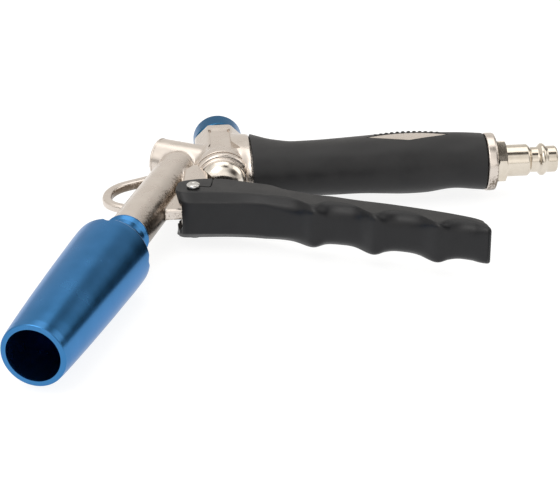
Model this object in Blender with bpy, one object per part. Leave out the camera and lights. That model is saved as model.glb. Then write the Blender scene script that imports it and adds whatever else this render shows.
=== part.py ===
"""Compressed-air blow gun with a cast body, finger lever and venturi nozzle.

All sizes below are millimetres in the gun's own axes: X runs along the handle
to the air inlet, Y along the valve from lever to cap, Z is out of the gun's
plane of symmetry. The origin is where the handle and valve axes cross.
Meshes are written in metres, with the gun lying on its side at Z = 0.
"""
import math

import bmesh
import bpy
from mathutils import Matrix, Vector

for old in list(bpy.data.objects):
    bpy.data.objects.remove(old, do_unlink=True)

# ------------------------------------------------------------------ dimensions
GAP = 0.3                      # clearance kept between separate pieces
SHIFT = (-27.155, 48.755, 13.64)  # gun origin in the part frame

# nozzle and barrel share one axis, 19 degrees off the valve axis
MOUTH = (-62.26, -130.26)
NOZZLE_ANGLE = 18.99
BARREL_R = 7.6
BARREL_BORE_R = 4.0
SHROUD_OUTER = [(0.25, 10.5), (3.0, 10.8), (8.0, 11.14), (14.0, 11.5), (23.0, 11.98), (32.0, 12.4),
                (41.0, 12.72), (51.0, 13.16), (60.0, 13.5), (66.0, 13.64), (68.4, 13.62), (69.1, 13.35)]
SHROUD_REAR = [(69.5, 12.6), (70.0, 11.2), (71.4, 9.3), (73.6, 8.0), (76.5, 7.5), (80.6, 7.55), (82.6, 8.0),
               (83.8, 8.12), (84.2, 8.0)]
SHROUD_BORE = [(84.2, 7.7), (83.0, 7.7), (83.0, 6.5), (70.5, 6.5), (70.5, 4.7), (67.0, 4.7), (67.0, 8.7), (65.6, 10.9), (63.5, 11.5),
               (58.0, 10.6), (50.0, 9.0), (42.0, 7.7), (34.0, 7.1), (26.0, 7.2), (12.0, 7.9), (1.0, 8.6), (0.0, 8.75),
               (0.0, 10.25)]
PORT_R = 1.9
PORT_PCD_R = 11.4
PORT_COUNT = 4
SCALLOP_R = 5.0

# side boss with its closing plug
BOSS_START = (0.0, 3.3)
BOSS_ANGLE = 150.0
BOSS_LENGTH = 26.6
BOSS_R = 7.75
BOSS_BORE_R = 3.2

# valve housing and the parts inside it, by distance along Y
HOUSING_AF = 9.35
HOUSING_FLATS = [(0, 1.025), (45, 1.055), (90, 1.0), (135, 1.0), (180, 0.985), (225, 1.0), (270, 1.0), (315, 1.055)]
COLLAR_R = 10.8
HOUSING_FRONT = -7.5
HOUSING_REAR = 26.0
GLAND_BORE_R = 6.5
CHAMBER_R = 5.2
MAIN_BORE_R = 7.6
STEM_R = 2.0
CAP_R = 9.4
SPRING_R = 4.0
SPRING_WIRE = 0.45
SPRING_TURNS = 5.0

# handle and rubber sleeve: x, half width in Z, front Y, back Y
GRIP = [(11.4, 10.9, -11.2, 21.6), (14.4, 10.6, -11.0, 19.0), (18.0, 10.2, -10.9, 16.4), (22.0, 9.95, -10.8, 14.4),
        (26.0, 9.75, -10.7, 13.1), (30.0, 9.8, -10.6, 12.7), (37.0, 9.9, -10.6, 12.9), (44.0, 10.05, -10.5, 13.5),
        (52.0, 10.3, -10.4, 14.2), (60.0, 10.6, -10.5, 14.8), (68.0, 10.85, -10.8, 15.0), (76.0, 10.8, -10.6, 14.8),
        (83.0, 10.5, -10.0, 14.2), (90.0, 10.4, -9.9, 13.4), (95.0, 10.35, -10.1, 12.4), (98.6, 10.35, -10.3, 11.2)]
SLEEVE_T = 2.6
FLANGE_X = (98.9, 102.6)
FLANGE_R = 10.86
INLET_BORE_R = 3.6
WINDOW_X = 70.1
WINDOW_Y = 3.5
WINDOW_HALF = (15.6, 3.0)
WINDOW_FRONT = 4.75
NUB_COUNT = 12
NUB_PITCH = 2.12

# lever pivot
PIN = (-11.2, -31.9)
PIN_R = 1.9
PIN_HOLE_R = 2.2
LUG_HALF = 5.75
GUSSET_HALF = 2.05
EAR_HALF = 8.8
LEVER_WALL = 2.2
# lever stations: back point, chamfer point, front point, half width at side, half width at front
LEVER = [((-17.2, -29.2), (-17.6, -33.6), (-16.6, -36.8), 8.7, 6.8),
         ((-15.2, -25.9), (-15.0, -35.8), (-13.9, -38.9), 8.8, 6.0),
         ((-8.0, -24.4), (-8.0, -36.3), (-8.0, -39.6), 8.8, 5.9),
         ((0.2, -25.2), (0.0, -37.3), (0.0, -40.6), 8.65, 5.85),
         ((8.0, -28.2), (9.0, -39.3), (9.0, -41.9), 8.5, 5.9),
         ((15.7, -31.3), (16.6, -42.2), (18.0, -45.2), 8.4, 6.1),
         ((20.0, -35.0), (23.4, -46.0), (24.9, -48.7), 8.3, 6.3),
         ((25.7, -38.1), (29.0, -49.8), (29.6, -52.2), 8.2, 6.4),
         ((31.3, -40.9), (34.0, -50.3), (35.0, -51.9), 8.1, 6.4),
         ((36.0, -42.4), (39.0, -51.7), (40.0, -53.2), 8.05, 6.4),
         ((41.0, -44.6), (44.0, -53.9), (45.0, -55.4), 7.95, 6.4),
         ((45.6, -46.6), (49.0, -58.3), (49.5, -60.1), 7.9, 6.4),
         ((51.0, -48.6), (53.5, -58.7), (54.0, -60.1), 7.8, 6.4),
         ((55.5, -50.4), (58.0, -59.4), (58.3, -60.7), 7.75, 6.4),
         ((61.5, -53.0), (64.3, -62.4), (64.6, -63.7), 7.65, 6.4),
         ((66.5, -55.3), (69.5, -67.0), (69.8, -68.3), 7.6, 6.4),
         ((71.4, -57.6), (74.0, -67.3), (74.1, -68.5), 7.5, 6.4),
         ((76.5, -60.3), (78.6, -68.1), (78.7, -69.2), 7.45, 6.35),
         ((83.0, -64.2), (84.0, -70.8), (84.0, -71.8), 7.35, 6.3),
         ((86.4, -67.0), (87.2, -71.9), (87.2, -73.0), 6.9, 5.9)]
PUSHER = (-1.5, 5.0, -24.0)

# inlet plug by distance along X
PLUG_AF = 15.0
PLUG_TURN = 21.0


# ------------------------------------------------------------------ materials
def material(name, rgb, metallic, rough):
    mat = bpy.data.materials.new(name)
    mat.use_nodes = True
    bsdf = mat.node_tree.nodes["Principled BSDF"]
    bsdf.inputs["Base Color"].default_value = (rgb[0], rgb[1], rgb[2], 1.0)
    bsdf.inputs["Metallic"].default_value = metallic
    bsdf.inputs["Roughness"].default_value = rough
    return mat


NICKEL = (0.62, 0.58, 0.54)
BLUE = (0.03, 0.13, 0.36)
BLACK = (0.02, 0.02, 0.022)
RUBBER = (0.03, 0.03, 0.032)
BRASS = (0.62, 0.45, 0.17)
STEEL = (0.55, 0.55, 0.56)
SEAL = (0.015, 0.015, 0.015)


# ------------------------------------------------------------------ mesh helpers
def to_part(p):
    return Vector(((p[0] + SHIFT[0]) * 0.001, (p[1] + SHIFT[1]) * 0.001, (p[2] + SHIFT[2]) * 0.001))


def new_object(name, verts, faces):
    mesh = bpy.data.meshes.new(name)
    mesh.from_pydata([to_part(v) for v in verts], [], faces)
    obj = bpy.data.objects.new(name, mesh)
    bpy.context.scene.collection.objects.link(obj)
    clean(obj)
    return obj


def clean(obj, flip_check=True):
    bm = bmesh.new()
    bm.from_mesh(obj.data)
    bmesh.ops.remove_doubles(bm, verts=bm.verts, dist=0.000002)
    bmesh.ops.dissolve_degenerate(bm, edges=bm.edges, dist=0.000002)
    if flip_check:
        bmesh.ops.recalc_face_normals(bm, faces=bm.faces)
    bmesh.ops.triangulate(bm, faces=[f for f in bm.faces if len(f.verts) > 4])
    bm.to_mesh(obj.data)
    bm.free()
    obj.data.update()


def rings_solid(name, rings, closed=False):
    """Skin a list of equal rings; cap both ends unless the rings form a loop."""
    count = len(rings[0])
    verts = [p for ring in rings for p in ring]
    faces = []
    last = len(rings) if closed else len(rings) - 1
    for i in range(last):
        a = i * count
        b = ((i + 1) % len(rings)) * count
        for k in range(count):
            n = (k + 1) % count
            faces.append((a + k, a + n, b + n, b + k))
    if not closed:
        faces.append(tuple(range(count)))
        faces.append(tuple(reversed(range((len(rings) - 1) * count, len(rings) * count))))
    return new_object(name, verts, faces)


def frame_for(axis):
    d = Vector(axis).normalized()
    side = Vector((0.0, 0.0, 1.0)) if abs(d.z) < 0.9 else Vector((1.0, 0.0, 0.0))
    u = d.cross(side).normalized()
    v = d.cross(u).normalized()
    return d, u, v


def turned(name, profile, origin, axis, segs=40, closed=False, turn=0.0):
    """Solid of revolution; profile is (distance along axis, radius)."""
    d, u, v = frame_for(axis)
    base = Vector(origin)
    rings = []
    for s, r in profile:
        ring = []
        for k in range(segs):
            t = 2.0 * math.pi * k / segs + math.radians(turn)
            ring.append(base + d * s + (u * math.cos(t) + v * math.sin(t)) * r)
        rings.append(ring)
    return rings_solid(name, rings, closed)


def prism(name, outline, z0, z1, chamfer=0.0):
    """Extrude an XY outline between two heights."""
    rings = []
    if chamfer > 0.0:
        inner = inset(outline, chamfer)
        rings.append([(x, y, z0) for x, y in inner])
        rings.append([(x, y, z0 + chamfer) for x, y in outline])
        rings.append([(x, y, z1 - chamfer) for x, y in outline])
        rings.append([(x, y, z1) for x, y in inner])
    else:
        rings.append([(x, y, z0) for x, y in outline])
        rings.append([(x, y, z1) for x, y in outline])
    return rings_solid(name, rings)


def inset(outline, dist):
    n = len(outline)
    area = 0.0
    for i in range(n):
        x0, y0 = outline[i]
        x1, y1 = outline[(i + 1) % n]
        area += x0 * y1 - x1 * y0
    sign = 1.0 if area > 0.0 else -1.0
    out = []
    for i in range(n):
        p = Vector(outline[i - 1])
        q = Vector(outline[i])
        r = Vector(outline[(i + 1) % n])
        e0 = (q - p).normalized()
        e1 = (r - q).normalized()
        n0 = Vector((-e0.y, e0.x)) * sign
        n1 = Vector((-e1.y, e1.x)) * sign
        m = (n0 + n1)
        m = m / max(m.dot(n0), 0.3)
        out.append((q.x + m.x * dist, q.y + m.y * dist))
    return out


def combine(target, tool, operation):
    mod = target.modifiers.new("cut", "BOOLEAN")
    mod.operation = operation
    mod.solver = "EXACT"
    mod.object = tool
    bpy.context.view_layer.update()
    graph = bpy.context.evaluated_depsgraph_get()
    result = bpy.data.meshes.new_from_object(target.evaluated_get(graph))
    target.modifiers.clear()
    old_mesh = target.data
    target.data = result
    bpy.data.meshes.remove(old_mesh)
    bpy.data.objects.remove(tool, do_unlink=True)
    clean(target)
    return target


def add(target, tool):
    return combine(target, tool, "UNION")


def cut(target, tool):
    return combine(target, tool, "DIFFERENCE")


def finish(obj, mat, smooth_angle=35.0):
    obj.data.materials.clear()
    obj.data.materials.append(mat)
    bm = bmesh.new()
    bm.from_mesh(obj.data)
    limit = math.radians(smooth_angle)
    for face in bm.faces:
        face.smooth = True
    for edge in bm.edges:
        if len(edge.link_faces) == 2 and edge.calc_face_angle(0.0) > limit:
            edge.smooth = False
    bm.to_mesh(obj.data)
    bm.free()
    obj.data.name = obj.name
    return obj


def set_origin(obj, point):
    """Move the object's origin to a gun-frame point without moving the mesh."""
    p = to_part(point)
    obj.data.transform(Matrix.Translation(-p))
    obj.location = p


def circle(cx, cy, r, count, start=0.0, sweep=360.0):
    out = []
    full = abs(sweep) >= 359.9
    steps = count if full else count - 1
    for k in range(count):
        t = math.radians(start + sweep * k / steps)
        out.append((cx + r * math.cos(t), cy + r * math.sin(t)))
    return out


# nozzle axis: s is measured from the mouth back towards the body
BACK = Vector((math.sin(math.radians(NOZZLE_ANGLE)), math.cos(math.radians(NOZZLE_ANGLE)), 0.0))
MOUTH3 = Vector((MOUTH[0], MOUTH[1], 0.0))
BOSS_DIR = Vector((math.cos(math.radians(BOSS_ANGLE)), math.sin(math.radians(BOSS_ANGLE)), 0.0))
BOSS3 = Vector((BOSS_START[0], BOSS_START[1], 0.0))
Y_AXIS = (0.0, 1.0, 0.0)
X_AXIS = (1.0, 0.0, 0.0)
ORIGIN = (0.0, 0.0, 0.0)


def grip_ring(x, half, front, back, off, count=30):
    """One closed section of the handle, shrunk by off all round."""
    yc = (front + back) * 0.5
    b = (back - front) * 0.5 - off
    a = half - off
    ring = []
    for k in range(count):
        t = 2.0 * math.pi * k / count
        c = math.cos(t)
        s = math.sin(t)
        p = 0.9
        ring.append((x, yc + b * math.copysign(abs(c) ** p, c), a * math.copysign(abs(s) ** p, s)))
    return ring


def grip_at(x):
    for i in range(len(GRIP) - 1):
        if GRIP[i][0] <= x <= GRIP[i + 1][0]:
            t = (x - GRIP[i][0]) / (GRIP[i + 1][0] - GRIP[i][0])
            return [GRIP[i][j] * (1.0 - t) + GRIP[i + 1][j] * t for j in range(4)]
    return list(GRIP[0] if x < GRIP[0][0] else GRIP[-1])


def window_outline(shrink):
    hx = WINDOW_HALF[0] - shrink * 2.0
    hy = WINDOW_HALF[1] - shrink
    hf = WINDOW_FRONT - shrink
    pts = []
    steps = 8
    for k in range(steps):
        t = k / steps
        x = -hx + 2.0 * hx * t
        pts.append((WINDOW_X + x, WINDOW_Y - hf * (1.0 - abs(x / hx) ** 1.2)))
    for k in range(steps):
        t = k / steps
        x = hx - 2.0 * hx * t
        pts.append((WINDOW_X + x, WINDOW_Y + hy * (1.0 - (x / hx) ** 2)))
    return pts


# ------------------------------------------------------------------ body casting
def octagon_ring(y, apothem, radius, blend, count=32):
    """Eight flats, a little wider on the handle side, blended into a circle."""
    ring = []
    for k in range(count):
        t = 2.0 * math.pi * k / count
        octo = min(apothem * d / max(math.cos(t - math.radians(a)), 1e-6) for a, d in HOUSING_FLATS
                   if math.cos(t - math.radians(a)) > 0.3)
        r = octo * (1.0 - blend) + radius * blend
        ring.append((r * math.cos(t), y, r * math.sin(t)))
    return ring


def build_body():
    stations = [(HOUSING_FRONT - 1.2, 0.0, 8.6, 1.0), (HOUSING_FRONT - 0.8, 0.0, 9.2, 1.0), (HOUSING_FRONT, 0.0, 9.3, 1.0),
                (HOUSING_FRONT, 0.0, COLLAR_R - 0.9, 1.0), (HOUSING_FRONT + 0.6, 0.0, COLLAR_R - 0.4, 1.0),
                (-5.2, 0.0, COLLAR_R - 0.35, 1.0), (-5.2, 0.0, COLLAR_R - 0.9, 1.0), (-4.7, 0.0, COLLAR_R - 0.9, 1.0),
                (-4.7, 0.0, COLLAR_R - 0.1, 1.0), (-4.3, 0.0, COLLAR_R, 1.0), (-1.6, HOUSING_AF, COLLAR_R, 1.0), (-0.4, HOUSING_AF, 10.7, 0.9), (2.5, HOUSING_AF, 10.1, 0.5),
                (6.0, HOUSING_AF, 9.6, 0.0), (HOUSING_REAR - 0.8, HOUSING_AF - 0.05, 9.6, 0.0),
                (HOUSING_REAR, HOUSING_AF - 0.6, 9.6, 0.0)]
    body = rings_solid("body", [octagon_ring(y, a, r, k) for y, a, r, k in stations])

    # neck between housing and grip, then the core that carries the sleeve
    neck = [grip_ring(x, h, f, b, 0.35, 40) for x, h, f, b in
            [(0.0, 9.6, -6.0, 21.5), (4.0, 10.5, -6.6, 22.9), (7.5, 10.85, -8.6, 23.2), (9.5, 10.95, -10.4, 22.6),
             (11.1, 10.95, -11.1, 21.9)]]
    add(body, rings_solid("neck", neck))
    core = [grip_ring(10.0, *grip_at(11.4)[1:], SLEEVE_T + GAP)]
    for x, h, f, b in GRIP:
        core.append(grip_ring(x, h, f, b, SLEEVE_T + GAP))
    core.append(grip_ring(FLANGE_X[0] + 1.0, *GRIP[-1][1:], SLEEVE_T + GAP))
    add(body, rings_solid("core", core))
    x0, x1 = FLANGE_X
    flange = [(x0, FLANGE_R - 0.7), (x0 + 0.35, FLANGE_R - 0.12), (x0 + 1.0, FLANGE_R), (x1 - 1.0, FLANGE_R),
              (x1 - 0.35, FLANGE_R - 0.15), (x1, FLANGE_R - 0.9)]
    add(body, turned("flange", flange, ORIGIN, X_AXIS, 48))

    # silver pads that show through the sleeve windows
    for side in (1.0, -1.0):
        pad = rings_solid("pad", [grip_ring(x, h, f, b, 0.12, 40) for x, h, f, b in GRIP[6:15]])
        z0, z1 = (3.0, 14.0) if side > 0.0 else (-14.0, -3.0)
        lens = prism("lens", window_outline(GAP), z0, z1)
        combine(pad, lens, "INTERSECT")
        add(body, pad)

    # side boss and barrel
    boss = [(0.0, BOSS_R), (BOSS_LENGTH - 1.0, BOSS_R), (BOSS_LENGTH - 0.9, BOSS_R + 0.1),
            (BOSS_LENGTH - 0.4, BOSS_R + 0.1), (BOSS_LENGTH, BOSS_R - 0.4)]
    add(body, turned("boss", boss, BOSS3, BOSS_DIR, 36))
    r = BARREL_R
    barrel = [(73.0, 5.6), (73.5, 6.15), (84.5, 6.15), (84.5, r - 0.35), (84.9, r), (140.0, r), (142.6, r * 0.95),
              (144.9, r * 0.8), (146.6, r * 0.55), (147.6, r * 0.2)]
    add(body, turned("barrel", barrel, MOUTH3, BACK, 36, turn=3.0))

    # pivot lug, its rib to the housing and the thin gusset to the barrel
    lug = [(-5.6, -4.0), (-11.0, -4.0), (-13.6, -8.0), (-15.4, -26.0)]
    lug += circle(PIN[0], PIN[1], 4.6, 9, 180.0, 180.0)
    lug += [(-6.0, -26.0), (-5.6, -20.0)]
    add(body, prism("lug", lug, -LUG_HALF, LUG_HALF, 0.5))
    gusset = [(-21.3, -35.6), (-11.0, -35.6), (-9.0, -6.0), (-14.0, -3.0), (-19.0, -8.0), (-28.5, -31.0)]
    add(body, prism("gusset", gusset, -GUSSET_HALF, GUSSET_HALF, 0.25))

    # hanging loop, a bar swept in the plane of the gun
    path = [(-24.0, -2.6), (-29.0, -5.4), (-34.0, -7.8), (-37.6, -10.0), (-40.2, -13.0), (-41.7, -16.5), (-42.1, -20.2),
            (-41.4, -23.4), (-39.5, -26.0), (-36.8, -27.8), (-33.5, -29.2), (-30.0, -30.4)]
    rings = []
    for i, (px, py) in enumerate(path):
        a = Vector(path[max(i - 1, 0)])
        b = Vector(path[min(i + 1, len(path) - 1)])
        t = (b - a).normalized()
        n = Vector((-t.y, t.x))
        w = 1.9 - 0.35 * i / (len(path) - 1)
        h = 1.7 - 0.2 * i / (len(path) - 1)
        c = 0.6
        ring = []
        for u, z in ((w, h - c), (w - c, h), (-w + c, h), (-w, h - c), (-w, -h + c), (-w + c, -h), (w - c, -h), (w, -h + c)):
            ring.append((px + n.x * u, py + n.y * u, z))
        rings.append(ring)
    add(body, rings_solid("hook", rings))

    # shallow panels on both broad sides of the housing
    for side in (1.0, -1.0):
        z0, z1 = (HOUSING_AF - 0.45, 14.0) if side > 0.0 else (-14.0, -HOUSING_AF + 0.45)
        outline = [(-3.7, 5.6), (-3.7, 19.8), (-2.6, 22.0), (2.6, 22.0), (3.7, 19.8), (3.7, 5.6), (2.4, 3.6), (-2.4, 3.6)]
        cut(body, prism("panel", outline, z0, z1))

    # air ways
    dome = [(-14.3, 0.5), (-14.25, 3.7), (-13.9, 4.95), (-13.15, 6.5), (-12.1, 7.85), (-10.8, 8.75), (-9.6, 9.15),
            (-8.6, 9.15)]
    cut(body, turned("gland_clearance", dome, ORIGIN, Y_AXIS, 32))
    cut(body, turned("gland_bore", [(-20.0, GLAND_BORE_R), (1.2, GLAND_BORE_R)], ORIGIN, Y_AXIS, 28))
    cut(body, turned("chamber", [(0.0, CHAMBER_R), (8.0, CHAMBER_R)], ORIGIN, Y_AXIS, 28))
    main = [(6.0, MAIN_BORE_R), (24.0, MAIN_BORE_R), (24.0, 8.75), (30.0, 8.75)]
    cut(body, turned("main_bore", main, ORIGIN, Y_AXIS, 28))
    cut(body, turned("boss_bore", [(0.0, 3.2), (BOSS_LENGTH - 7.0, 3.2), (BOSS_LENGTH - 7.0, 5.2),
                                   (BOSS_LENGTH + 4.0, 5.2)], BOSS3, BOSS_DIR, 32))
    cut(body, turned("barrel_bore", [(70.0, BARREL_BORE_R), (141.0, BARREL_BORE_R)], MOUTH3, BACK, 32))
    cut(body, turned("inlet_bore", [(30.0, INLET_BORE_R), (90.0, INLET_BORE_R)], ORIGIN, X_AXIS, 32))
    cut(body, turned("inlet_thread", [(86.0, 6.5), (FLANGE_X[1] - 1.5, 6.5), (FLANGE_X[1] - 1.5, 8.4), (110.0, 8.4)],
                     ORIGIN, X_AXIS, 28))
    cross = Vector((34.0, -0.5, 0.0))
    start = Vector((4.0, 13.5, 0.0))
    length = (cross - start).length
    cut(body, turned("cross_bore", [(0.0, 3.0), (length, 3.0)], start, cross - start, 28))
    cut(body, turned("pin_hole", [(-9.0, PIN_HOLE_R), (9.0, PIN_HOLE_R)], (PIN[0], PIN[1], 0.0), (0.0, 0.0, 1.0), 24))
    return finish(body, material("nickel_cast", NICKEL, 1.0, 0.32))


# ------------------------------------------------------------------ rubber sleeve
def build_sleeve():
    count = 36
    rings = [grip_ring(GRIP[0][0], *GRIP[0][1:], 0.4, count)]
    rings.append(grip_ring(GRIP[0][0] + 0.4, *grip_at(GRIP[0][0] + 0.4)[1:], 0.0, count))
    for row in GRIP[1:-1]:
        rings.append(grip_ring(*row, 0.0, count))
    rings.append(grip_ring(GRIP[-1][0] - 0.4, *grip_at(GRIP[-1][0] - 0.4)[1:], 0.0, count))
    rings.append(grip_ring(*GRIP[-1], 0.4, count))
    for row in reversed(GRIP):
        rings.append(grip_ring(*row, SLEEVE_T, count))
    sleeve = rings_solid("grip_sleeve", rings, closed=True)
    for side in (1.0, -1.0):
        z0, z1 = (4.0, 14.0) if side > 0.0 else (-14.0, -4.0)
        cut(sleeve, prism("window", window_outline(0.0), z0, z1))
        # raised nubs along the back edge of each window
        for k in range(NUB_COUNT):
            x = WINDOW_X + (k - (NUB_COUNT - 1) * 0.5) * NUB_PITCH
            y = WINDOW_Y + 1.35 + WINDOW_HALF[1] * (1.0 - ((x - WINDOW_X) / WINDOW_HALF[0]) ** 2)
            _, half, front, back = grip_at(x)
            yc = (front + back) * 0.5
            b = (back - front) * 0.5
            c = min(abs((y - yc) / b), 1.0) ** (1.0 / 0.9)
            z = half * max(1.0 - c * c, 0.0) ** 0.45
            rise = 0.5 - 0.25 * abs(k - (NUB_COUNT - 1) * 0.5) / (NUB_COUNT * 0.5)
            nub = [(-1.4, 0.72), (rise - 0.25, 0.66), (rise, 0.35)]
            add(sleeve, turned("nub", nub, (x, y, side * z), (0.0, 0.25, side), 6))
    return finish(sleeve, material("grip_rubber", RUBBER, 0.0, 0.6))


# ------------------------------------------------------------------ lever and pin
def build_lever():
    rings = []
    for b, c, f, side, front in LEVER:
        rings.append([(b[0], b[1], -side + 0.5), (b[0], b[1] - 0.5, -side), (c[0], c[1], -side), (f[0], f[1], -front),
                      (f[0], f[1], front), (c[0], c[1], side), (b[0], b[1] - 0.5, side), (b[0], b[1], side - 0.5)])
    lever = rings_solid("trigger_lever", rings)
    inner = []
    rows = [((-24.0, -20.0), (-24.0, -36.8), 6.1)]
    for b, c, f, side, front in LEVER[1:-1]:
        rows.append(((b[0] + 1.2, b[1] + 5.0), (f[0] + 0.8, f[1] + 2.5), side - LEVER_WALL - 0.45))
    last = LEVER[-1]
    rows.append(((last[0][0] - 0.8, last[0][1] + 5.0), (last[2][0] - 1.8, last[2][1] + 2.4), 4.6))
    for b, f, z in rows:
        z = min(z, 6.1) if b[0] > -5.0 else 6.1
        inner.append([(b[0], b[1], -z), (f[0], f[1] + 0.8, -z), (f[0], f[1], -z + 0.8), (f[0], f[1], z - 0.8),
                      (f[0], f[1] + 0.8, z), (b[0], b[1], z)])
    cut(lever, rings_solid("channel", inner))
    # notch between the two ears at the pivot end
    gap = [(x, y, z) for x, z in ((-24.0, -6.4), (-17.9, -5.9), (-15.6, -4.5), (-15.6, 4.5), (-17.9, 5.9), (-24.0, 6.4))
           for y in (-50.0,)]
    cut(lever, rings_solid("notch", [gap, [(x, -20.0, z) for x, y, z in gap]]))
    # cross bar that presses on the valve stem
    x0, x1, top = PUSHER
    bar = [(x0, -38.9), (x1, -39.4), (x1, top - 0.6), (x1 - 0.6, top), (x0 + 0.6, top), (x0, top - 0.6)]
    add(lever, prism("bar", bar, -7.2, 7.2))
    centre = (PIN[0], PIN[1], 0.0)
    add(lever, turned("tail_boss", [(-EAR_HALF - 0.75, 2.7), (-EAR_HALF - 0.45, 3.15), (-7.4, 3.15)], centre,
                      (0.0, 0.0, 1.0), 28))
    cut(lever, turned("hole", [(-12.0, PIN_HOLE_R), (12.0, PIN_HOLE_R)], centre, (0.0, 0.0, 1.0), 28))
    set_origin(lever, centre)
    return finish(lever, material("lever_plastic", BLACK, 0.0, 0.45))


def build_pin():
    r = PIN_R
    top = EAR_HALF + GAP
    profile = [(-9.8, r - 0.35), (-9.5, r), (top, r), (top, 2.37), (top + 0.85, 2.37), (top + 1.15, 2.0), (top + 1.2, 1.2)]
    pin = turned("pivot_pin", profile, (PIN[0], PIN[1], 0.0), (0.0, 0.0, 1.0), 32)
    return finish(pin, material("pin_steel", STEEL, 1.0, 0.25))


# ------------------------------------------------------------------ valve train
def ring_part(name, inner, outer, s0, s1, mat, axis=Y_AXIS, origin=ORIGIN, segs=24, chamfer=0.2):
    c = chamfer
    profile = [(s0, inner), (s0, outer - c), (s0 + c, outer), (s1 - c, outer), (s1, outer - c), (s1, inner)]
    return finish(turned(name, profile, origin, axis, segs, closed=True), mat)


def torus_part(name, radius, minor, s, mat, axis=Y_AXIS, origin=ORIGIN, segs=24):
    profile = []
    for k in range(6):
        t = 2.0 * math.pi * k / 6
        profile.append((s + minor * math.cos(t), radius + minor * math.sin(t)))
    return finish(turned(name, profile, origin, axis, segs, closed=True), mat)


def build_valve(seal_mat, brass_mat, steel_mat):
    gland = [(-13.9, 2.35), (-13.9, 3.4), (-13.6, 4.7), (-12.9, 6.2), (-11.9, 7.5), (-10.7, 8.4), (-9.6, 8.8),
             (-9.0, 8.6), (-9.0, 6.2), (-1.2, 6.2), (-1.2, 5.0), (0.9, 5.0), (0.9, 4.6), (-0.9, 4.6), (-0.9, 2.35)]
    finish(turned("gland_nut", gland, ORIGIN, Y_AXIS, 28, closed=True), material("gland_nickel", NICKEL, 1.0, 0.22))
    torus_part("gland_seal", 3.45, 0.8, 0.2, seal_mat)
    torus_part("gland_gasket", 5.75, 0.42, -0.65, seal_mat)

    stem = [(-23.7, 0.7), (-23.3, 1.5), (-22.4, STEM_R), (8.7, STEM_R), (8.7, 1.5), (14.6, 1.5), (14.9, 1.2)]
    stem_obj = turned("valve_stem", stem, ORIGIN, Y_AXIS, 20)
    finish(stem_obj, steel_mat)
    set_origin(stem_obj, (0.0, -23.7, 0.0))
    ring_part("poppet_seal", 1.8, 5.3, 9.35, 10.75, seal_mat)
    poppet = [(11.05, 1.8), (11.05, 5.6), (11.35, 5.9), (13.0, 5.9), (13.3, 5.6), (13.3, 3.2), (14.6, 3.0), (14.6, 1.8)]
    finish(turned("valve_poppet", poppet, ORIGIN, Y_AXIS, 24, closed=True), brass_mat)
    seat = [(6.3, 2.9), (6.3, 7.0), (6.6, 7.3), (7.1, 7.3), (7.1, 6.6), (8.0, 6.6), (8.0, 7.3), (8.3, 7.3), (8.6, 7.0),
            (8.6, 4.4), (9.05, 4.2), (9.05, 3.4), (8.6, 2.9)]
    finish(turned("valve_seat", seat, ORIGIN, Y_AXIS, 24, closed=True), brass_mat)
    torus_part("seat_seal", 7.1, 0.32, 7.55, seal_mat, segs=24)

    # compression spring between poppet and cap, with closed flat coils
    start = 13.3 + GAP + SPRING_WIRE
    end = 29.6 - GAP - SPRING_WIRE
    steps = int(SPRING_TURNS * 12) + 24
    rings = []
    for i in range(steps + 1):
        turn_at = i / 12.0
        total = steps / 12.0
        if turn_at < 1.0:
            s = start + turn_at * 1.0
        elif turn_at > total - 1.0:
            s = end - (total - turn_at) * 1.0
        else:
            s = start + 1.0 + (end - start - 2.0) * (turn_at - 1.0) / (total - 2.0)
        ang = 2.0 * math.pi * turn_at
        out = Vector((math.cos(ang), 0.0, math.sin(ang)))
        mid = out * SPRING_R + Vector((0.0, s, 0.0))
        ring = []
        for k in range(6):
            t = 2.0 * math.pi * k / 6
            ring.append(mid + out * (SPRING_WIRE * math.cos(t)) + Vector((0.0, SPRING_WIRE * math.sin(t), 0.0)))
        rings.append(ring)
    finish(rings_solid("valve_spring", rings), steel_mat)

    cap = [(18.5, 7.0), (18.8, 7.3), (23.7, 7.3), (23.7, 7.0), (26.3, 7.0), (26.3, 9.1), (26.6, CAP_R),
           (34.4, CAP_R), (35.3, 9.1), (35.9, 8.3), (36.0, 7.6)]
    cap_obj = turned("valve_cap", cap, ORIGIN, Y_AXIS, 36)
    cut(cap_obj, turned("cap_bore", [(10.0, 5.2), (29.6, 5.2)], ORIGIN, Y_AXIS, 36))
    cut(cap_obj, turned("cap_socket", [(34.0, 3.2), (40.0, 3.2)], ORIGIN, Y_AXIS, 6))
    finish(cap_obj, material("cap_blue", BLUE, 1.0, 0.3))
    torus_part("cap_seal", 7.85, 0.5, 25.1, seal_mat, segs=24)


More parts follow.
